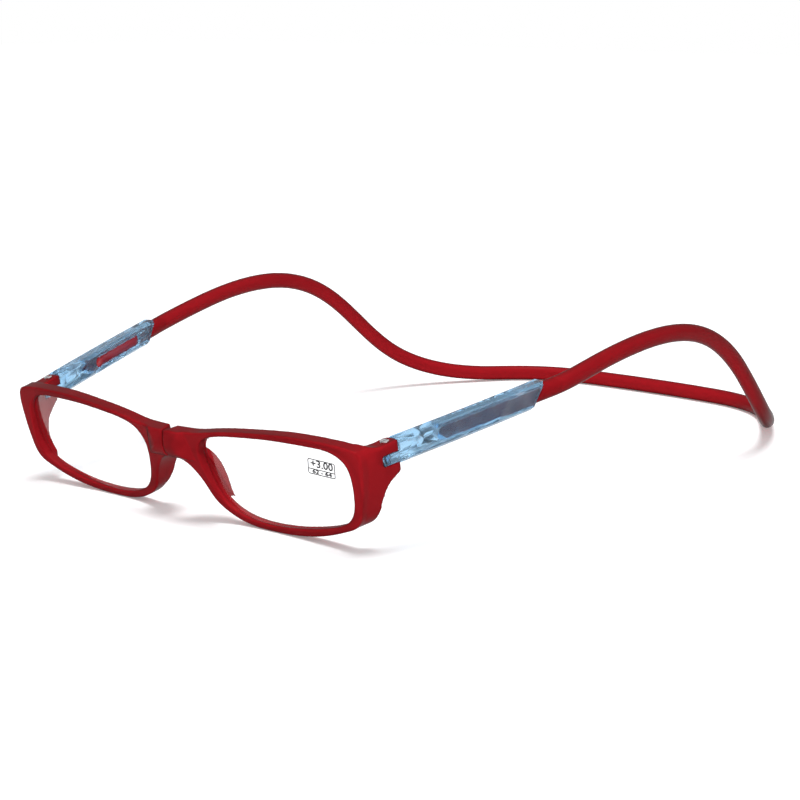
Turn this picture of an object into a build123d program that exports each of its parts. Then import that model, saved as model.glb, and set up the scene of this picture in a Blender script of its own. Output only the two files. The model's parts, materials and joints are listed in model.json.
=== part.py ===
from build123d import *
import os
from math import atan2, cos, degrees, radians, sin, tan

# Magnetic bridge reading glasses: two half fronts that meet at the nose,
# two sliding temple sleeves and one neckband that runs round the back of the head.
# Millimetres. One half is drawn in the sight frame (X from the seam outwards,
# Y to the rear, Z up from the lowest point of the rim), then tipped by lie_angle
# so that the rims and the nape of the band stand on Z = 0.

# lay of the glasses
lie_angle = 11.1
splay_angle = 12.0

# half front
half_width = 65.2
rim_height = 29.5
rim_depth = 4.2
wrap_depth = 5.8
nose_rake = 6.2
outer_rake = 0.4
seam_top = 26.3
seam_bottom = 18.0
seam_gap = 0.1
seam_relief_angle = 15.5
edge_round = 0.4
window_margin = 0.7

# swelling of the front at the bridge, and the magnet in it
bridge_swell = 0.2
bridge_length = 9.4
bridge_depth = 4.8
magnet_diameter = 3.0
magnet_length = 2.0
magnet_recess = 0.15
magnet_clearance = 0.03
magnet_set_back = 2.7

# nose pad
pad_thickness = 1.7
pad_rear = 11.35
pad_top = 18.9
pad_width = 20.0
pad_normal_angle = 36.0

# end piece, hinge lugs and screw
end_piece_inner = 2.2
corner_inner = 4.6
corner_height = 13.6
wall_start = 1.2
wall_bend = 2.5
hinge_inset = 0.9
hinge_set_back = 16.5
lug_radius = 3.3
lug_top = 26.95
notch_floor = 21.4
notch_height = 2.9
notch_depth = 2.75
screw_foot = 18.5
screw_diameter = 1.4
screw_head_diameter = 2.4
screw_head_height = 0.7
screw_head_proud = 0.35
screw_slot_width = 0.4
screw_slot_depth = 0.3
thread_clearance = 0.02
pin_clearance = 0.05

# lens: a radius of front face in millimetres for its power in dioptres
lens_power = 3.0
lens_index = 1.49
metre = 1000.0
lens_centre_thickness = 2.9
lens_rear_margin = 0.9
lens_ridge = 0.5
lens_ridge_thickness = 0.8
lens_clearance = 0.04

# temple sleeve, its places counted from the hinge axis
sleeve_tip = 1.0
sleeve_rear = 52.45
sleeve_height = 6.5
sleeve_thickness = 4.8
sleeve_base = 20.7
sleeve_bow = 0.35
sleeve_bevel = 0.9
sleeve_butt_gap = 0.15
sleeve_end_slant = 5.2
tab_radius = 2.6
tab_clearance = 0.1
tab_stop_angle = 12.5
recess_end = 12.5
recess_height = 4.2
recess_depth = 0.45

# tongue, its peg and the channel
tongue_height = 3.7
tongue_thickness = 2.1
tongue_front = 17.2
tongue_tenon = 7.0
channel_clearance = 0.1
channel_run_out = 1.6
peg_diameter = 3.0
peg_position = 22.4
peg_below_face = 0.25
detent_pitch = 4.9
detent_count = 5
detent_diameter = 3.5
slot_neck = 3.16

# neckband
band_height = 5.2
band_width = 4.6
band_half_span = 79.4
band_length = 234.0
band_hump = 44.4
shoulder_gap = 0.15
end_cut_size = 20.0

# how far a cut runs past the face it opens, and a size past which nothing reaches
overrun = 1.0
far = 400.0
tolerance = 0.05

# outlines, as shares of the half width and of the rim height
top_outline_shares = [
    (0.09, 0.893), (0.155, 0.898), (0.235, 0.925), (0.34, 0.956), (0.469, 0.98), (0.644, 1.0),
    (0.782, 0.993), (0.9, 0.975), (0.96, 0.954), (0.982, 0.94),
]
lower_outline_shares = [
    (0.995, 0.895), (1.0, 0.814), (0.995, 0.678), (0.986, 0.542), (0.972, 0.407), (0.957, 0.305),
    (0.929, 0.224), (0.874, 0.163), (0.813, 0.114), (0.736, 0.064), (0.614, 0.017), (0.506, 0.0),
    (0.414, 0.0), (0.307, 0.034), (0.238, 0.098), (0.173, 0.217), (0.14, 0.366), (0.106, 0.488),
    (0.069, 0.566), (0.0245, 0.603),
]
window_shares = [
    (0.156, 0.661), (0.169, 0.766), (0.195, 0.83), (0.248, 0.878), (0.376, 0.915), (0.587, 0.936),
    (0.767, 0.925), (0.868, 0.888), (0.919, 0.8), (0.937, 0.661), (0.937, 0.508), (0.925, 0.373),
    (0.897, 0.278), (0.844, 0.207), (0.736, 0.136), (0.614, 0.088), (0.491, 0.066), (0.368, 0.078),
    (0.282, 0.132), (0.226, 0.22), (0.19, 0.346), (0.167, 0.502),
]
lens_middle_share = 0.55
lens_height_share = 0.5
lens_span_share = 0.38

# bridge: how far its front face lies behind the swell, from the top down to the underside,
# as shares of the bridge depth and of the rim height, then the same from the seam outwards
bridge_side_shares = [
    (0.145, 0.893), (0.02, 0.81), (0.0, 0.735), (0.125, 0.665), (0.33, 0.625), (0.5, 0.61),
]
bridge_plan_shares = [(-0.1, 0.0), (0.35, 0.0), (0.6, 0.14), (0.8, 0.42), (1.0, 1.0)]

# side view of the nose pad, as shares of its rear reach and of its top
pad_side_shares = [
    (0.79, 1.0), (0.907, 0.926), (0.96, 0.857), (0.991, 0.762), (1.0, 0.635), (0.987, 0.529),
    (0.96, 0.45), (0.907, 0.36), (0.828, 0.275), (0.74, 0.222),
]

# side view of the end piece, as shares of its length to the rear of the lugs
# and of the rim height: its upper edge from front to rear, then its lower edge back
end_piece_top_shares = [(0.48, 0.97), (0.555, 0.936), (0.63, 0.919), (0.73, 0.914), (1.0, 0.912)]
end_piece_foot_shares = [
    (1.0, 0.658), (0.894, 0.614), (0.763, 0.549), (0.687, 0.447), (0.652, 0.322), (0.62, 0.2), (0.59, 0.07),
]

# places along the neckband, from the left ear to the nape, as shares of
# its half span, its length and the height of its hump
band_route_shares = [
    (0.974, 0.319, 0.856), (0.982, 0.367, 0.914), (0.989, 0.411, 0.959), (0.997, 0.488, 1.0),
    (1.0, 0.554, 0.977), (0.997, 0.612, 0.885), (0.991, 0.665, 0.721), (0.976, 0.717, 0.498),
    (0.94, 0.773, 0.279), (0.86, 0.837, 0.131), (0.747, 0.903, 0.068), (0.621, 0.956, 0.059),
    (0.479, 0.984, 0.059), (0.239, 0.9975, 0.059),
]

hinge_x = half_width - hinge_inset
hinge_place = Location((hinge_x, hinge_set_back, 0), (0, 0, -splay_angle))
sleeve_middle = sleeve_base + sleeve_height / 2
sleeve_end_angle = degrees(atan2(sleeve_end_slant, sleeve_height))
seam_middle = (seam_top + seam_bottom) / 2
screw_head_seat = lug_top - screw_head_height + screw_head_proud
travel = detent_pitch * (detent_count - 1)
side_view = Plane(origin=(0, 0, 0), x_dir=(0, 1, 0), z_dir=(1, 0, 0))
front_view = Plane(origin=(0, 0, 0), x_dir=(1, 0, 0), z_dir=(0, -1, 0))
on_base = (Align.CENTER, Align.CENTER, Align.MIN)


def flat_front(x, z):
    """Y of the front face of the rim: it wraps outwards and its foot falls back."""
    across = x / half_width
    down = 1 - z / rim_height
    return wrap_depth * across + (nose_rake * (1 - across) + outer_rake * across) * down


def placed(shares, width, height):
    return [(width * a, height * b) for a, b in shares]


def through(sketch):
    """A front-view outline as a bar along Y."""
    return extrude(front_view * sketch, amount=far, both=True)


def outline_sketch():
    """One half front seen from before it, from the seam to the outer corner."""
    upper = [(0, seam_top)] + placed(top_outline_shares, half_width, rim_height)
    lower = placed(lower_outline_shares, half_width, rim_height) + [(0, seam_bottom)]
    outer = Line(upper[-1], lower[0])
    return make_face([Spline(*upper), outer, Spline(*lower), Line(lower[-1], upper[0])])


def window_sketch(grow):
    """The lens opening, its outline moved outwards by grow on every side."""
    points = placed(window_shares, half_width, rim_height)
    left, right = min(x for x, z in points), max(x for x, z in points)
    low, high = min(z for x, z in points), max(z for x, z in points)
    middle_x, middle_z = (left + right) / 2, (low + high) / 2
    wider = 1 + 2 * grow / (right - left)
    taller = 1 + 2 * grow / (high - low)
    moved = [(middle_x + (x - middle_x) * wider, middle_z + (z - middle_z) * taller) for x, z in points]
    return make_face(Spline(*moved, periodic=True))


def front_slab():
    """The space between the warped front face and the one behind it."""
    low, high = -overrun, rim_height + overrun
    sections = []
    for x in (-overrun, half_width + overrun):
        sections.append(Face(Wire.make_polygon([
            (x, flat_front(x, low), low),
            (x, flat_front(x, low) + rim_depth, low),
            (x, flat_front(x, high) + rim_depth, high),
            (x, flat_front(x, high), high),
        ], close=True)))
    return loft(sections, ruled=True)


def lies_behind_front(edge, depth):
    """True for an edge that runs along the surface this far behind the front face."""
    ends = [edge.position_at(0), edge.position_at(lens_height_share), edge.position_at(1)]
    return all(abs(p.Y - flat_front(p.X, p.Z) - depth) < tolerance for p in ends)


def plate():
    """The flat ring round the lens with soft edges."""
    ring = through(outline_sketch()) & front_slab()
    ring -= through(window_sketch(0))
    soft = [e for e in ring.edges() if e.center().X > overrun
            and (lies_behind_front(e, 0) or lies_behind_front(e, rim_depth))]
    return fillet(soft, edge_round)


def end_piece():
    """Carries on the outer edge of the rim back along the temple, to the two hinge lugs."""
    length = hinge_set_back + lug_radius
    bend = flat_front(half_width, rim_height) + wall_bend
    along = Vector(sin(radians(splay_angle)), cos(radians(splay_angle)), 0)
    sheared = extrude(front_view * outline_sketch(), amount=far, dir=along)
    sheared = Location((-bend * tan(radians(splay_angle)), 0, 0)) * sheared
    wall = Location((-end_piece_inner, 0, 0)) * Box(far, far, far, align=(Align.MIN, Align.MAX, Align.CENTER))
    wall += Cylinder(lug_radius, far) & Location((-end_piece_inner, 0, 0)) * Box(
        far, far, far, align=(Align.MIN, Align.CENTER, Align.CENTER))
    wall += Location((-corner_inner, 0, corner_height)) * Box(
        far, far, far, align=(Align.MIN, Align.MAX, Align.MAX))
    start = flat_front(half_width, rim_height) + wall_start
    upper = [(start, rim_height)] + placed(end_piece_top_shares, length, rim_height)
    lower = placed(end_piece_foot_shares, length, rim_height)
    side = make_face([Spline(*upper), Line(upper[-1], lower[0]), Spline(*lower),
                      Polyline(lower[-1], (start, lower[-1][1]), upper[0])])
    return sheared & hinge_place * wall & extrude(side_view * side, amount=far)


def bridge():
    """The swelling of the front beside the seam, round the magnet."""
    side = placed(bridge_side_shares, bridge_depth, rim_height)
    side = [(y - bridge_swell, z) for y, z in side]
    profile = make_face([Spline(*side), Polyline(side[-1], (bridge_depth, side[-1][1]),
                                                 (bridge_depth, side[0][1]), side[0])])
    plan = [(x, y - bridge_swell) for x, y in placed(bridge_plan_shares, bridge_length, bridge_depth)]
    outline = make_face([Spline(*plan), Polyline(plan[-1], (plan[0][0], bridge_depth + overrun), plan[0])])
    block = extrude(side_view * profile, amount=far, both=True)
    return block & extrude(outline, amount=rim_height)


def nose_pad():
    """A curved fin behind the nose side of the rim."""
    angle = radians(pad_normal_angle)
    inner = Location((pad_thickness * cos(angle), pad_thickness * sin(angle))) * outline_sketch()
    side = placed(pad_side_shares, pad_rear, pad_top)
    inside_plate = [(flat_front(0, z) + rim_depth / 2, z) for y, z in (side[-1], side[0])]
    profile = make_face([Spline(*side), Polyline(side[-1], *inside_plate, side[0])])
    fin = extrude(side_view * profile, amount=pad_width)
    return (fin & through(outline_sketch())) - through(inner)


def seam_cutter():
    """Removes all that lies across the seam: the mating face leans away to the rear."""
    place = Location((seam_gap / 2, -bridge_swell, 0), (0, 0, -seam_relief_angle))
    return place * Box(far, far, far, align=(Align.MAX, Align.CENTER, Align.CENTER))


def lens_plane():
    """The middle plane of the lens, square to the mean slope of the front, Z to the front."""
    x = half_width * lens_middle_share
    z = rim_height * lens_height_share
    half_x = half_width * lens_span_share
    half_z = rim_height * lens_span_share
    slope_x = (flat_front(x + half_x, z) - flat_front(x - half_x, z)) / (2 * half_x)
    slope_z = (flat_front(x, z + half_z) - flat_front(x, z - half_z)) / (2 * half_z)
    return Plane(origin=(x, flat_front(x, z) + rim_depth / 2, z), x_dir=(1, slope_x, 0),
                 z_dir=(slope_x, -1, slope_z))


def lens_edge(grow, clearance):
    """The ridge round the lens, or the groove for it, as a layer of the lens at its rear."""
    layer = Location((0, 0, -lens_rear_margin - clearance)) * Box(
        far, far, lens_ridge_thickness + 2 * clearance, align=on_base)
    return through(window_sketch(grow)) & (lens_plane() * layer)


def magnet_place():
    """Middle of the mating face, with Z along the magnet into the bridge."""
    lean = radians(seam_relief_angle)
    x = seam_gap / 2 + magnet_set_back * sin(lean)
    y = magnet_set_back * cos(lean) - bridge_swell
    return Plane(origin=(x, y, seam_middle), x_dir=(0, 0, 1), z_dir=(cos(lean), -sin(lean), 0))


def at_hinge(z):
    return hinge_place * Location((0, 0, z))


def notch():
    """Space between the lugs for the tab of the sleeve."""
    space = Box(far, far, notch_height, align=(Align.CENTER, Align.MIN, Align.MIN))
    return at_hinge(notch_floor) * Location((0, -notch_depth, 0)) * space


def rim():
    body = plate() + (end_piece() + bridge() + nose_pad() - through(window_sketch(window_margin)))
    body -= lens_edge(lens_ridge + lens_clearance, lens_clearance)
    body -= seam_cutter()
    body -= magnet_place() * Location((0, 0, -overrun)) * Cylinder(
        magnet_diameter / 2 + magnet_clearance, magnet_length + magnet_recess + overrun, align=on_base)
    body -= notch()
    body -= at_hinge(0) * Cylinder(screw_diameter / 2 + thread_clearance, far, align=on_base)
    body -= at_hinge(screw_head_seat) * Cylinder(
        screw_head_diameter / 2 + thread_clearance, far, align=on_base)
    return body


def lens():
    """Flat at the rear, a slice of a large ball at the front."""
    radius = (lens_index - 1) * metre / lens_power
    behind = Location((0, 0, -lens_rear_margin)) * Box(far, far, far, align=on_base)
    ball = Location((0, 0, lens_centre_thickness - lens_rear_margin - radius)) * Sphere(radius)
    body = through(window_sketch(-lens_clearance)) & (lens_plane() * behind)
    return (body & (lens_plane() * ball)) + lens_edge(lens_ridge, 0)


def long_slot(start, end, height):
    """Side view of a bar with round ends, start and end being places along the sleeve."""
    return Location(((start + end) / 2, sleeve_middle)) * SlotOverall(end - start, height)


def slab_in_sleeve(sketch, inner_x, outer_x):
    """A side-view outline given thickness between two places across the sleeve."""
    return Location((inner_x, 0, 0)) * extrude(side_view * sketch, amount=outer_x - inner_x)


def detent_slot():
    outline = Location((peg_position + travel / 2, sleeve_middle)) * Rectangle(travel, slot_neck)
    for step in range(detent_count):
        place = Location((peg_position + step * detent_pitch, sleeve_middle))
        outline += place * Circle(detent_diameter / 2)
    return outline


def sleeve_shell():
    """The outside of the sleeve: slightly bowed, bevelled, its rear end slanting."""
    half = sleeve_thickness / 2
    middle = (sleeve_tip + sleeve_rear) / 2
    plan = make_face([
        Line((-half, sleeve_tip), (half, sleeve_tip)),
        ThreePointArc((half, sleeve_tip), (half + sleeve_bow, middle), (half, sleeve_rear)),
        Line((half, sleeve_rear), (-half, sleeve_rear)),
        ThreePointArc((-half, sleeve_rear), (-half + sleeve_bow, middle), (-half, sleeve_tip)),
    ])
    shell = Location((0, 0, sleeve_base)) * extrude(plan, amount=sleeve_height)
    long_edges = [e for e in shell.edges() if e.length > sleeve_rear - sleeve_tip - tolerance]
    shell = chamfer(long_edges, sleeve_bevel) - Cylinder(lug_radius + sleeve_butt_gap, far)
    end = Location((0, sleeve_rear, sleeve_base + sleeve_height), (-sleeve_end_angle, 0, 0))
    return shell - end * Box(far, far, far, align=(Align.CENTER, Align.MIN, Align.CENTER))


def tab_sketch():
    """Plan of the hinge tab: round where it folds inwards, flat where it stops outwards."""
    half = sleeve_thickness / 2
    stop = radians(tab_stop_angle)
    nearest = -tab_radius / cos(stop)
    outline = Circle(tab_radius) & Rectangle(2 * half, 2 * tab_radius)
    outline += Rectangle(2 * half, lug_radius + overrun, align=(Align.CENTER, Align.MIN))
    return outline + make_face(Polyline(
        (0, 0), (tab_radius * sin(stop), -tab_radius * cos(stop)), (half, nearest + half * tan(stop)),
        (half, 0), close=True))


def sleeve():
    """Clear sleeve with the hinge tab, the channel and the scalloped slot of the detents."""
    half = sleeve_thickness / 2
    body = sleeve_shell() + Location((0, 0, notch_floor + tab_clearance)) * extrude(
        tab_sketch(), amount=notch_height - 2 * tab_clearance)
    body -= Cylinder(screw_diameter / 2 + pin_clearance, far)
    half_channel = tongue_thickness / 2 + channel_clearance
    body -= slab_in_sleeve(
        long_slot(tongue_front - channel_run_out, sleeve_rear + sleeve_height,
                  tongue_height + 2 * channel_clearance), -half_channel, half_channel)
    body -= slab_in_sleeve(detent_slot(), -half - overrun, 0)
    body -= slab_in_sleeve(
        long_slot(-recess_height, recess_end, recess_height),
        -half - overrun, -half + recess_depth)
    return hinge_place * body


def tongue():
    """Stiff tongue with the peg that clicks into the detents."""
    half = tongue_thickness / 2
    body = slab_in_sleeve(long_slot(tongue_front, sleeve_rear + tongue_tenon, tongue_height), -half, half)
    length = sleeve_thickness / 2 - sleeve_bow - peg_below_face
    peg = Location((-length, peg_position, sleeve_middle), (0, 90, 0)) * Cylinder(
        peg_diameter / 2, length, align=on_base)
    return hinge_place * (body + peg)


def magnet():
    return magnet_place() * Location((0, 0, magnet_recess)) * Cylinder(
        magnet_diameter / 2, magnet_length, align=on_base)


def screw():
    shank_length = screw_head_seat - screw_foot
    shank = Cylinder(screw_diameter / 2, shank_length, align=on_base)
    head = Location((0, 0, shank_length)) * Cylinder(
        screw_head_diameter / 2, screw_head_height, align=on_base)
    slot = Location((0, 0, shank_length + screw_head_height)) * Box(
        screw_slot_width, screw_head_diameter, 2 * screw_slot_depth)
    return at_hinge(screw_foot) * (shank + head - slot)


half_front = rim()
lift = -(Rot(lie_angle, 0, 0) * half_front).bounding_box().min.Z
lie = Location((0, 0, lift), (lie_angle, 0, 0))


def on_sleeve_axis(place):
    return (lie * at_hinge(sleeve_middle) * Location((0, place, 0))).position


def neckband():
    """Straight where it leaves the sleeves, over both ears and down to the nape."""
    straight = [on_sleeve_axis(place) for place in (
        sleeve_rear - sleeve_end_slant - overrun, sleeve_rear, sleeve_rear + tongue_tenon)]
    route = [Vector(band_half_span * a, band_length * b, band_hump * c) for a, b, c in band_route_shares]
    half = straight + route
    nape = Vector(0, band_length, route[-1].Z)
    points = half + [nape] + [Vector(-p.X, p.Y, p.Z) for p in reversed(half)]
    ahead = (straight[1] - straight[0]).normalized()
    path = Spline(*points, tangents=[ahead, Vector(ahead.X, -ahead.Y, -ahead.Z)])
    section = Plane(origin=straight[0], x_dir=ahead.cross(Vector(0, 0, 1)), z_dir=ahead)
    band = sweep(section * Ellipse(band_width / 2, band_height / 2), path=path)
    end = Location((0, sleeve_rear + shoulder_gap, sleeve_base + sleeve_height), (-sleeve_end_angle, 0, 0))
    end_cut = lie * hinge_place * end * Box(
        end_cut_size, end_cut_size, end_cut_size, align=(Align.CENTER, Align.MAX, Align.CENTER))
    for tool in (end_cut, lie * tongue()):
        band -= tool
        band -= mirror(tool, about=Plane.YZ)
    return band


def main():
    os.makedirs("parts", exist_ok=True)
    left = {
        "rim": half_front, "lens": lens(), "bridge_magnet": magnet(),
        "hinge_screw": screw(), "temple_sleeve": sleeve(), "ratchet_tongue": tongue(),
    }
    nodes = {"neckband": neckband()}
    for name, solid in left.items():
        nodes[name + "_left"] = lie * solid
        nodes[name + "_right"] = mirror(lie * solid, about=Plane.YZ)
    box = Compound(list(nodes.values())).bounding_box()
    centred = Location((0, -(box.min.Y + box.max.Y) / 2, 0))
    for name, solid in nodes.items():
        export_step(centred * solid, "parts/" + name + ".step")


main()
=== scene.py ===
import json
import math

import bpy
from mathutils import Matrix, Vector

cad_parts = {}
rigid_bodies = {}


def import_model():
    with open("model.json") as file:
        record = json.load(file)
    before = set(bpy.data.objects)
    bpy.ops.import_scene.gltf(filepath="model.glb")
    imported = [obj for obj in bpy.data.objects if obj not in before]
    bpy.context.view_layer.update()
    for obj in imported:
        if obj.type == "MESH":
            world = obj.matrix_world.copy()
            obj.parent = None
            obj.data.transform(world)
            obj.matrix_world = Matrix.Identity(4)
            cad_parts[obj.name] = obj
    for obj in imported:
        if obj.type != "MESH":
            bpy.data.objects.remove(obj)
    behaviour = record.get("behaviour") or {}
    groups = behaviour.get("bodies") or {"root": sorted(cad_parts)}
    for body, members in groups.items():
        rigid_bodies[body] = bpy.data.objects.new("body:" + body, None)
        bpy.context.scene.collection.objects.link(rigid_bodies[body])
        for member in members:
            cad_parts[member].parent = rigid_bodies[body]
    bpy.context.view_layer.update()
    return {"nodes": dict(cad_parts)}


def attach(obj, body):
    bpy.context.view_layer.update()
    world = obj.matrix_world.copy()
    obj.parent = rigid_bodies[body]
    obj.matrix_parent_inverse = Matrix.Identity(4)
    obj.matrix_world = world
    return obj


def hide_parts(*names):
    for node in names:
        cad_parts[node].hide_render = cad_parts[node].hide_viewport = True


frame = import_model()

# Reading glasses that open at the nose, standing on a pale studio floor.
# The scene is in metres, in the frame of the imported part: +X to the viewer's right, +Y away,
# +Z up. The sizes named here are in millimetres, apart from those of the camera and the floor.

MM = 0.001
SIDES = {"left": 1, "right": -1}

# camera, at the place from which the photograph was taken, in metres
CAMERA_PLACE = (0.38458, -0.48206, 0.13812)
CAMERA_RIGHT = (0.76635, 0.64242, 0.00747)
CAMERA_BACK = (0.62881, -0.75248, 0.19611)
CAMERA_SENSOR = 36.0
CAMERA_FOCAL = 90.866

# light, and the floor that it falls on
HORIZON_LEVEL = 0.4
ZENITH_LEVEL = 0.65
MIRROR_LEVEL = 0.6
SEEN_LEVEL = 1.0
SUN_LEVEL = 2.4
SUN_SOFTNESS = 26.0
WHITE = (1.0, 1.0, 1.0, 1.0)
FLOOR_COLOUR = (0.86, 0.86, 0.87, 1.0)
FLOOR_ROUGHNESS = 0.9
FLOOR_LIFT = 0.2
FLOOR_SIZE = 8.0

# colours
DEEP_RED = (0.36, 0.010, 0.016, 1.0)
BRIGHT_RED = (0.50, 0.013, 0.020, 1.0)
TONGUE_RED = (0.50, 0.010, 0.020, 1.0)
TONGUE_PALE = (0.60, 0.016, 0.028, 1.0)
SLEEVE_BLUE = (0.18, 0.44, 0.74, 1.0)
SLEEVE_PALE = (0.48, 0.72, 0.88, 1.0)
LENS_TINT = (0.985, 0.988, 0.99, 1.0)
STEEL = (0.66, 0.66, 0.68, 1.0)
PALE_STEEL = (0.78, 0.78, 0.79, 1.0)
PRINT_GREY = (0.02, 0.02, 0.025, 1.0)
PRINT_PALE = (0.04, 0.04, 0.045, 1.0)

# refraction; the reds have little, which keeps a white sheen off their slanting faces
PLASTIC_IOR = 1.49
SLEEVE_IOR = 1.3
RED_IOR = 1.08
LENS_IOR = 1.3

# share of the light that a lens holds back from its shadow
LENS_SHADOW = 0.06

# how far a face turns away before it starts to darken, from 0 to 1
EDGE_START = 0.2

# fine moulded texture
CLOUD_DETAIL = 3.0
GRAIN_DETAIL = 2.0
GRAIN_SCALE = 2500.0
GRAIN_DEPTH = 0.05
STEEL_CLOUDS = 900.0
STEEL_SPREAD = 0.12

# joining of loose triangles, and the angle in degrees below which an edge is shaded soft
WELD = 0.001
SOFT_ANGLE = 30.0

# lens at the viewer's right: its front is part of a ball, its rear a plane
BALL_CENTRE = (28.7282, 42.2164, 61.5092)
BALL_RADIUS = 163.3333
LENS_FORWARD = (0.044206, -0.955746, -0.290851)
LENS_ACROSS = (0.999012, 0.043604, 0.008555)
LENS_UP = (0.004506, -0.290942, 0.956731)
LENS_CELL = 1.5
LENS_EDGE = 1.5
LENS_THIN = 0.2
LENS_WELD = 0.01
LENS_OUTLINE_WELD = 0.04
LENS_SOFT_ANGLE = 25.0
REAR_FACING = -0.99

# nose pad on that side: the three planes that cut it off, and how far its copy moves
PAD_FRONT = (35.98, -109.3, 15.4)
PAD_SIDE = (20.0, 0.0, 0.0)
PAD_TOP = (0.0, 0.0, 18.6)
PAD_MOVE = (0.65, 0.95, 0.85)

# label on that lens; each row has its name, figures, height, width and place
LABEL_SIZE = (8.2, 4.4)
LABEL_CORNER = 0.55
LABEL_CORNER_STEPS = 4
LABEL_LINE = 0.25
LABEL_DIVIDER = -0.65
LABEL_ROWS = (
    ("label_power", "+3.00", 2.9, 6.7, (0.1, 0.85)),
    ("label_span", "62 - 64", 1.5, 5.9, (0.1, -1.35)),
)
LABEL_TILT = -7.0
LABEL_PLACE = (51.737, -114.399, 21.26)
LABEL_LIFT = 0.05
PRINT_THICKNESS = 0.02
PRINT_WEIGHT = 0.07
PRINT_CURVE_STEPS = 3

# soft edges of the moulded pieces
RIM_VOXEL = 0.3
RIM_SMOOTHING = 5
BAND_VOXEL = 0.4
BAND_SMOOTHING = 8
SMOOTHING_FACTOR = 0.5


def new_material(name):
    """A material with its node tree and its shader."""
    material = bpy.data.materials.new(name)
    material.use_nodes = True
    tree = material.node_tree
    return material, tree, tree.nodes["Principled BSDF"]


def link(tree, start, end):
    tree.links.new(start, end)


def ranged(tree, value, low, high, start=0.0):
    """Carries a value between start and 1 over to one between low and high."""
    node = tree.nodes.new("ShaderNodeMapRange")
    node.inputs["From Min"].default_value = start
    node.inputs["To Min"].default_value = low
    node.inputs["To Max"].default_value = high
    link(tree, value, node.inputs["Value"])
    return node.outputs["Result"]


def greater(tree, first, second):
    """The greater of two values."""
    node = tree.nodes.new("ShaderNodeMath")
    node.operation = "MAXIMUM"
    link(tree, first, node.inputs[0])
    link(tree, second, node.inputs[1])
    return node.outputs[0]


def towards(tree, share, value, end):
    """Goes from a value to a fixed end as the share goes from 0 to 1."""
    node = tree.nodes.new("ShaderNodeMix")
    node.inputs["B"].default_value = end
    link(tree, share, node.inputs["Factor"])
    link(tree, value, node.inputs["A"])
    return node.outputs["Result"]


def frosting_group():
    """Fine moulded texture: slow cloudy colour, small changes of gloss, a grainy surface."""
    group = bpy.data.node_groups.new("frosting", "ShaderNodeTree")
    for name, direction, kind in (
            ("Dark Colour", "INPUT", "NodeSocketColor"),
            ("Light Colour", "INPUT", "NodeSocketColor"),
            ("Cloud Scale", "INPUT", "NodeSocketFloat"),
            ("Grain Scale", "INPUT", "NodeSocketFloat"),
            ("Roughness Low", "INPUT", "NodeSocketFloat"),
            ("Roughness High", "INPUT", "NodeSocketFloat"),
            ("Colour", "OUTPUT", "NodeSocketColor"),
            ("Roughness", "OUTPUT", "NodeSocketFloat"),
            ("Height", "OUTPUT", "NodeSocketFloat")):
        group.interface.new_socket(name=name, in_out=direction, socket_type=kind)
    nodes = group.nodes
    enter, leave = nodes.new("NodeGroupInput"), nodes.new("NodeGroupOutput")
    place = nodes.new("ShaderNodeTexCoord")
    cloud, grain = nodes.new("ShaderNodeTexNoise"), nodes.new("ShaderNodeTexNoise")
    cloud.inputs["Detail"].default_value = CLOUD_DETAIL
    grain.inputs["Detail"].default_value = GRAIN_DETAIL
    link(group, place.outputs["Object"], cloud.inputs["Vector"])
    link(group, place.outputs["Object"], grain.inputs["Vector"])
    link(group, enter.outputs["Cloud Scale"], cloud.inputs["Scale"])
    link(group, enter.outputs["Grain Scale"], grain.inputs["Scale"])
    blend = nodes.new("ShaderNodeMix")
    blend.data_type = "RGBA"
    link(group, cloud.outputs["Fac"], blend.inputs["Factor"])
    link(group, enter.outputs["Dark Colour"], blend.inputs["A"])
    link(group, enter.outputs["Light Colour"], blend.inputs["B"])
    gloss = nodes.new("ShaderNodeMapRange")
    link(group, grain.outputs["Fac"], gloss.inputs["Value"])
    link(group, enter.outputs["Roughness Low"], gloss.inputs["To Min"])
    link(group, enter.outputs["Roughness High"], gloss.inputs["To Max"])
    # Mix has a result for each kind of data, all of one name, so the colour is found by type
    colour = next(s for s in blend.outputs if s.type == "RGBA")
    link(group, colour, leave.inputs["Colour"])
    link(group, gloss.outputs["Result"], leave.inputs["Roughness"])
    link(group, grain.outputs["Fac"], leave.inputs["Height"])
    return group


FROSTING = frosting_group()


def frosted(tree, dark, light, clouds, roughness):
    """Places the frosting in a material, with that material's own values."""
    node = tree.nodes.new("ShaderNodeGroup")
    node.node_tree = FROSTING
    values = {"Dark Colour": dark, "Light Colour": light, "Cloud Scale": clouds,
              "Grain Scale": GRAIN_SCALE,
              "Roughness Low": roughness[0], "Roughness High": roughness[1]}
    for name, value in values.items():
        node.inputs[name].default_value = value
    return node


def moulded_plastic(name, dark, light, transmission, roughness, bump, clouds, shine, index, edge):
    """Moulded plastic with the frosting. Its colour falls to the share edge where it turns away."""
    material, tree, shader = new_material(name)
    frosting = frosted(tree, dark, light, clouds, roughness)
    relief = tree.nodes.new("ShaderNodeBump")
    relief.inputs["Strength"].default_value = bump
    relief.inputs["Distance"].default_value = GRAIN_DEPTH * MM
    turning = tree.nodes.new("ShaderNodeLayerWeight")
    fade = ranged(tree, turning.outputs["Facing"], 1.0, edge, start=EDGE_START)
    shade = tree.nodes.new("ShaderNodeVectorMath")
    shade.operation = "SCALE"
    link(tree, frosting.outputs["Colour"], shade.inputs[0])
    link(tree, fade, shade.inputs["Scale"])
    link(tree, shade.outputs[0], shader.inputs["Base Color"])
    link(tree, frosting.outputs["Roughness"], shader.inputs["Roughness"])
    link(tree, frosting.outputs["Height"], relief.inputs["Height"])
    link(tree, relief.outputs["Normal"], shader.inputs["Normal"])
    shader.inputs["Transmission Weight"].default_value = transmission
    shader.inputs["Specular IOR Level"].default_value = shine
    shader.inputs["IOR"].default_value = index
    return material


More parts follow.
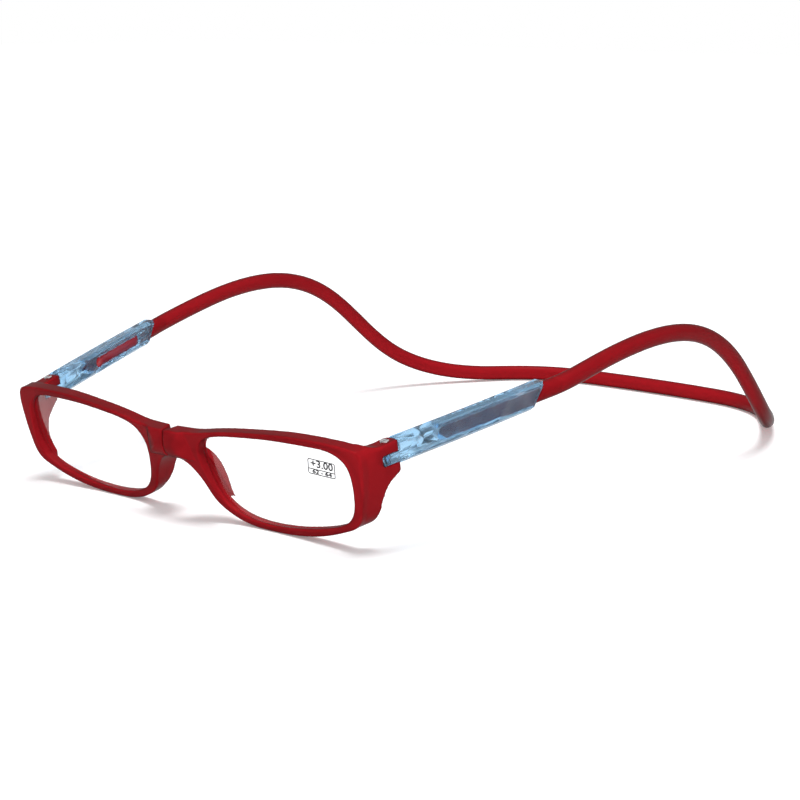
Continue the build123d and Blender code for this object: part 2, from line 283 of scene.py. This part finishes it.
def frosted_red(name, clouds):
    """The translucent red of the half fronts and the band."""
    return moulded_plastic(
        name, DEEP_RED, BRIGHT_RED, transmission=0.35, roughness=(0.28, 0.38), bump=0.12,
        clouds=clouds, shine=0.5, index=RED_IOR, edge=0.03)


def lens_glass():
    """Clear glass that lets most of the light pass straight on to the floor."""
    material, tree, shader = new_material("clear_lens")
    shader.inputs["Base Color"].default_value = LENS_TINT
    shader.inputs["Transmission Weight"].default_value = 1.0
    shader.inputs["Roughness"].default_value = 0.0
    shader.inputs["IOR"].default_value = LENS_IOR
    rays = tree.nodes.new("ShaderNodeLightPath")
    hold = ranged(tree, rays.outputs["Is Shadow Ray"], 1.0, LENS_SHADOW)
    link(tree, hold, shader.inputs["Alpha"])
    return material


def plated_steel(name, roughness):
    material, tree, shader = new_material(name)
    frosting = frosted(
        tree, STEEL, PALE_STEEL, STEEL_CLOUDS, (roughness, roughness + STEEL_SPREAD))
    link(tree, frosting.outputs["Colour"], shader.inputs["Base Color"])
    link(tree, frosting.outputs["Roughness"], shader.inputs["Roughness"])
    shader.inputs["Metallic"].default_value = 1.0
    return material


def floor_material():
    """Pale matt floor that keeps the shadows and reads as white where it is seen."""
    material, tree, shader = new_material("studio_floor")
    shader.inputs["Base Color"].default_value = FLOOR_COLOUR
    shader.inputs["Roughness"].default_value = FLOOR_ROUGHNESS
    shader.inputs["Specular IOR Level"].default_value = 0.0
    rays = tree.nodes.new("ShaderNodeLightPath").outputs
    seen = greater(tree, rays["Is Camera Ray"], rays["Is Glossy Ray"])
    seen = greater(tree, seen, rays["Is Transmission Ray"])
    lift = tree.nodes.new("ShaderNodeMath")
    lift.operation = "MULTIPLY"
    lift.inputs[1].default_value = FLOOR_LIFT
    link(tree, seen, lift.inputs[0])
    shader.inputs["Emission Color"].default_value = WHITE
    link(tree, lift.outputs[0], shader.inputs["Emission Strength"])
    return material


def make_world():
    """Soft light that is stronger from above, and a white sheet where it is seen directly."""
    world = bpy.data.worlds.new("studio")
    bpy.context.scene.world = world
    world.use_nodes = True
    tree = world.node_tree
    way = tree.nodes.new("ShaderNodeTexCoord")
    split = tree.nodes.new("ShaderNodeSeparateXYZ")
    link(tree, way.outputs["Generated"], split.inputs[0])
    rays = tree.nodes.new("ShaderNodeLightPath").outputs
    soft = ranged(tree, split.outputs["Z"], HORIZON_LEVEL, ZENITH_LEVEL)
    seen = greater(tree, rays["Is Camera Ray"], rays["Is Transmission Ray"])
    level = towards(tree, seen, soft, SEEN_LEVEL)
    level = towards(tree, rays["Is Glossy Ray"], level, MIRROR_LEVEL)
    background = tree.nodes["Background"]
    background.inputs["Color"].default_value = WHITE
    link(tree, level, background.inputs["Strength"])


def make_studio():
    """A wide lamp straight above, and the floor."""
    sun = bpy.data.lights.new("key", "SUN")
    sun.energy = SUN_LEVEL
    sun.angle = math.radians(SUN_SOFTNESS)
    bpy.context.scene.collection.objects.link(bpy.data.objects.new("key", sun))
    bpy.ops.mesh.primitive_plane_add(size=FLOOR_SIZE, location=(0.0, 0.0, 0.0))
    floor = bpy.context.object
    floor.name = "studio_floor"
    floor.data.materials.append(floor_material())


def make_camera():
    right, back = Vector(CAMERA_RIGHT).normalized(), Vector(CAMERA_BACK).normalized()
    up = back.cross(right)
    data = bpy.data.cameras.new("camera")
    data.sensor_width = CAMERA_SENSOR
    data.lens = CAMERA_FOCAL
    camera = bpy.data.objects.new("camera", data)
    bpy.context.scene.collection.objects.link(camera)
    turn = Matrix((right, up, back)).transposed().to_4x4()
    camera.matrix_world = Matrix.Translation(CAMERA_PLACE) @ turn
    bpy.context.scene.camera = camera


def deselect():
    if bpy.context.object and bpy.context.object.mode != "OBJECT":
        bpy.ops.object.mode_set(mode="OBJECT")
    bpy.ops.object.select_all(action="DESELECT")


def edit_all():
    """Goes to edit mode with everything selected."""
    bpy.ops.object.mode_set(mode="EDIT")
    bpy.ops.mesh.select_all(action="SELECT")


def edit_done():
    bpy.ops.object.mode_set(mode="OBJECT")


def welded_copy(node, name, gap):
    """A copy of a CAD node's mesh with its loose triangles joined, selected and active."""
    piece = bpy.data.objects.new(name, frame["nodes"][node].data.copy())
    bpy.context.scene.collection.objects.link(piece)
    deselect()
    bpy.context.view_layer.objects.active = piece
    piece.select_set(True)
    edit_all()
    bpy.ops.mesh.remove_doubles(threshold=gap * MM)
    edit_done()
    return piece


def dress(piece, node, body, material):
    """Gives a piece its material, and shows it in place of its node."""
    piece.data.materials.clear()
    piece.data.materials.append(material)
    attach(piece, body)
    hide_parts(node)


def smooth_copy(node, name, body, material):
    """A welded copy with soft shading."""
    piece = welded_copy(node, name, WELD)
    bpy.ops.object.shade_smooth_by_angle(angle=math.radians(SOFT_ANGLE))
    dress(piece, node, body, material)


def lens_frame(sign):
    """Forward, across and up of a lens, and the middle of the ball of its front, in metres."""
    flip = Vector((sign, 1.0, 1.0))
    return [Vector(v) * flip for v in (LENS_FORWARD, LENS_ACROSS, LENS_UP)] + [
        Vector(BALL_CENTRE) * flip * MM]


def pad_swell(side, sign):
    """A copy of the nose pad, moved so that the two together make a fuller pad."""
    pad = welded_copy("rim_" + side, "pad_swell", WELD)
    forward = lens_frame(sign)[0]
    cuts = ((Vector(PAD_FRONT), forward), (Vector(PAD_SIDE), Vector((sign, 0.0, 0.0))),
            (Vector(PAD_TOP), Vector((0.0, 0.0, 1.0))))
    flip = Vector((sign, 1.0, 1.0))
    bpy.ops.object.mode_set(mode="EDIT")
    for place, direction in cuts:
        bpy.ops.mesh.select_all(action="SELECT")
        bpy.ops.mesh.bisect(plane_co=place * flip * MM, plane_no=direction,
                            use_fill=True, clear_outer=True)
    edit_done()
    pad.data.transform(Matrix.Translation(Vector(PAD_MOVE) * flip * MM))
    return pad


def without_crumbs(piece):
    """Keeps only the shell that has the highest point."""
    bpy.ops.object.mode_set(mode="EDIT")
    bpy.ops.mesh.select_mode(type="VERT")
    bpy.ops.mesh.select_all(action="DESELECT")
    edit_done()
    max(piece.data.vertices, key=lambda vertex: vertex.co.z).select = True
    bpy.ops.object.mode_set(mode="EDIT")
    bpy.ops.mesh.select_linked()
    bpy.ops.mesh.select_all(action="INVERT")
    bpy.ops.mesh.delete(type="VERT")
    edit_done()


def soft_copy(node, name, body, material, voxel, smoothing, extra=None):
    """A copy whose moulded edges are rounded. It takes in the extra piece, if there is one."""
    piece = welded_copy(node, name, WELD)
    if extra:
        extra.select_set(True)
        bpy.ops.object.join()
    grid = piece.modifiers.new("even_grid", "REMESH")
    grid.mode = "VOXEL"
    grid.voxel_size = voxel * MM
    soft = piece.modifiers.new("soft_edges", "SMOOTH")
    soft.factor = SMOOTHING_FACTOR
    soft.iterations = smoothing
    bpy.ops.object.modifier_apply(modifier=grid.name)
    bpy.ops.object.modifier_apply(modifier=soft.name)
    without_crumbs(piece)
    bpy.ops.object.shade_smooth()
    dress(piece, node, body, material)


def keep_flat_rear(mesh, forward):
    """Leaves one flat face, the rear of the lens."""
    for part in (mesh.vertices, mesh.edges, mesh.polygons):
        for item in part:
            item.select = False
    for face in mesh.polygons:
        face.select = face.normal.dot(forward) < REAR_FACING
    bpy.ops.object.mode_set(mode="EDIT")
    bpy.ops.mesh.select_mode(type="FACE")
    bpy.ops.mesh.select_all(action="INVERT")
    bpy.ops.mesh.delete(type="FACE")
    bpy.ops.mesh.select_all(action="SELECT")
    bpy.ops.mesh.dissolve_faces()
    bpy.ops.mesh.select_all(action="SELECT")
    bpy.ops.mesh.remove_doubles(threshold=LENS_OUTLINE_WELD * MM)
    edit_done()


def block_with_grid(mesh, forward, directions):
    """Makes a block of the flat face, cut into even cells both ways."""
    middle = forward * mesh.vertices[0].co.dot(forward)
    spans = []
    for direction in directions:
        places = [vertex.co.dot(direction) for vertex in mesh.vertices]
        low, high = min(places), max(places)
        middle = middle + direction * (low + high) / 2
        spans.append((direction, int((high - low) / (2 * LENS_CELL * MM))))
    edit_all()
    bpy.ops.mesh.extrude_region_move(
        TRANSFORM_OT_translate={"value": forward * LENS_EDGE * MM})
    for direction, cuts in spans:
        for step in range(-cuts, cuts + 1):
            bpy.ops.mesh.select_all(action="SELECT")
            bpy.ops.mesh.bisect(
                plane_co=middle + direction * step * LENS_CELL * MM, plane_no=direction)
    bpy.ops.mesh.select_all(action="SELECT")
    bpy.ops.mesh.quads_convert_to_tris(quad_method="BEAUTY", ngon_method="BEAUTY")
    edit_done()


def lay_on_ball(mesh, forward, centre, rear):
    """Moves the front of the block on to the ball, but never closer to the rear than thin."""
    foot = centre.dot(forward)
    for vertex in mesh.vertices:
        level = vertex.co.dot(forward)
        if level > rear + LENS_EDGE / 2 * MM:
            aside = vertex.co - centre - forward * (level - foot)
            ball = foot + math.sqrt((BALL_RADIUS * MM) ** 2 - aside.length_squared)
            vertex.co = vertex.co + forward * (max(ball, rear + LENS_THIN * MM) - level)


def clear_lens(side, sign, material):
    """The lens, with an even grid of small faces on its curved front."""
    piece = welded_copy("lens_" + side, "clear_lens_" + side, LENS_WELD)
    forward, across, up, centre = lens_frame(sign)
    mesh = piece.data
    keep_flat_rear(mesh, forward)
    rear = mesh.vertices[0].co.dot(forward)
    block_with_grid(mesh, forward, (across, up))
    lay_on_ball(mesh, forward, centre, rear)
    edit_all()
    bpy.ops.mesh.normals_make_consistent(inside=False)
    edit_done()
    bpy.ops.object.shade_smooth_by_angle(angle=math.radians(LENS_SOFT_ANGLE))
    dress(piece, "lens_" + side, "front_" + side, material)


def print_line(name, width, height, place):
    """A thin straight bar of the printed label, in its own plane, in millimetres."""
    deselect()
    bpy.ops.mesh.primitive_cube_add(size=1.0)
    bar = bpy.context.object
    bar.name = name
    bar.scale = (width, height, PRINT_THICKNESS)
    bar.location = (place[0], place[1], 0.0)
    bpy.ops.object.transform_apply(location=True, rotation=False, scale=True)
    return bar


def print_words(name, words, height, width, place):
    """Printed figures, centred on a place of the label."""
    deselect()
    bpy.ops.object.text_add()
    text = bpy.context.object
    text.name = name
    text.data.body = words
    text.data.align_x = "CENTER"
    text.data.align_y = "CENTER"
    text.data.size = height
    text.data.extrude = PRINT_THICKNESS / 2
    text.data.resolution_u = PRINT_CURVE_STEPS
    text.data.offset = PRINT_WEIGHT
    bpy.ops.object.convert(target="MESH")
    text = bpy.context.object
    text.scale = (width / text.dimensions.x, 1.0, 1.0)
    text.location = (place[0], place[1], 0.0)
    bpy.ops.object.transform_apply(location=True, rotation=False, scale=True)
    return text


def label_border():
    """The rounded outline round the figures."""
    deselect()
    bpy.ops.mesh.primitive_plane_add(size=1.0)
    border = bpy.context.object
    border.name = "label_border"
    border.scale = (LABEL_SIZE[0], LABEL_SIZE[1], 1.0)
    bpy.ops.object.transform_apply(location=False, rotation=False, scale=True)
    edit_all()
    bpy.ops.mesh.bevel(offset=LABEL_CORNER, segments=LABEL_CORNER_STEPS, affect="VERTICES")
    bpy.ops.mesh.select_all(action="SELECT")
    bpy.ops.mesh.inset(thickness=LABEL_LINE)
    bpy.ops.mesh.delete(type="FACE")
    edit_done()
    wall = border.modifiers.new("thickness", "SOLIDIFY")
    wall.thickness = PRINT_THICKNESS
    wall.offset = 0.0
    bpy.ops.object.modifier_apply(modifier=wall.name)
    return border


def lens_label(material):
    """The small power label on the lens at the viewer's right, laid on its front."""
    parts = [label_border()]
    parts.append(print_line("label_divider", LABEL_SIZE[0], LABEL_LINE, (0.0, LABEL_DIVIDER)))
    parts.extend(print_words(*row) for row in LABEL_ROWS)
    deselect()
    for part in parts:
        part.select_set(True)
    bpy.context.view_layer.objects.active = parts[0]
    bpy.ops.object.join()
    label = bpy.context.object
    label.name = "lens_label"
    across, up, centre = lens_frame(SIDES["left"])[1:]
    tilt = math.radians(LABEL_TILT)
    normal = (Vector(LABEL_PLACE) * MM - centre).normalized()
    sideways = across * math.cos(tilt) + up * math.sin(tilt)
    sideways = (sideways - normal * sideways.dot(normal)).normalized()
    upright = normal.cross(sideways)
    turn = Matrix((sideways, upright, normal)).transposed().to_4x4()
    place = Matrix.Translation(centre + normal * (BALL_RADIUS + LABEL_LIFT) * MM)
    label.data.transform(place @ turn @ Matrix.Diagonal((MM, MM, MM, 1.0)))
    label.data.materials.clear()
    label.data.materials.append(material)
    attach(label, "front_left")


def finish_node(node, material):
    """A CAD node whose shape is right, with its own material."""
    data = frame["nodes"][node].data
    data.materials.clear()
    data.materials.append(material)


bpy.context.scene.view_settings.view_transform = "Standard"
make_world()
make_studio()
make_camera()

rim_plastic = frosted_red("frosted_red_rim", 70.0)
band_plastic = frosted_red("frosted_red_band", 45.0)
tongue_plastic = moulded_plastic(
    "red_tongue", TONGUE_RED, TONGUE_PALE, transmission=0.0, roughness=(0.25, 0.35),
    bump=0.1, clouds=90.0, shine=0.3, index=PLASTIC_IOR, edge=0.8)
sleeve_plastic = moulded_plastic(
    "clear_blue_sleeve", SLEEVE_BLUE, SLEEVE_PALE, transmission=0.92, roughness=(0.18, 0.28),
    bump=0.06, clouds=160.0, shine=0.5, index=SLEEVE_IOR, edge=0.9)
lens_material = lens_glass()
print_ink = moulded_plastic(
    "label_ink", PRINT_GREY, PRINT_PALE, transmission=0.0, roughness=(0.5, 0.6),
    bump=0.02, clouds=400.0, shine=0.3, index=PLASTIC_IOR, edge=1.0)
magnet_steel = plated_steel("plated_magnet", 0.25)
screw_steel = plated_steel("plated_screw", 0.18)

soft_copy("neckband", "band", "neckband", band_plastic, BAND_VOXEL, BAND_SMOOTHING)
for side, sign in SIDES.items():
    swell = pad_swell(side, sign)
    soft_copy("rim_" + side, "half_front_" + side, "front_" + side, rim_plastic,
              RIM_VOXEL, RIM_SMOOTHING, swell)
    clear_lens(side, sign, lens_material)
    smooth_copy("temple_sleeve_" + side, "sleeve_" + side, "sleeve_" + side,
                sleeve_plastic)
    smooth_copy("ratchet_tongue_" + side, "tongue_" + side, "neckband",
                tongue_plastic)
    finish_node("bridge_magnet_" + side, magnet_steel)
    finish_node("hinge_screw_" + side, screw_steel)

lens_label(print_ink)
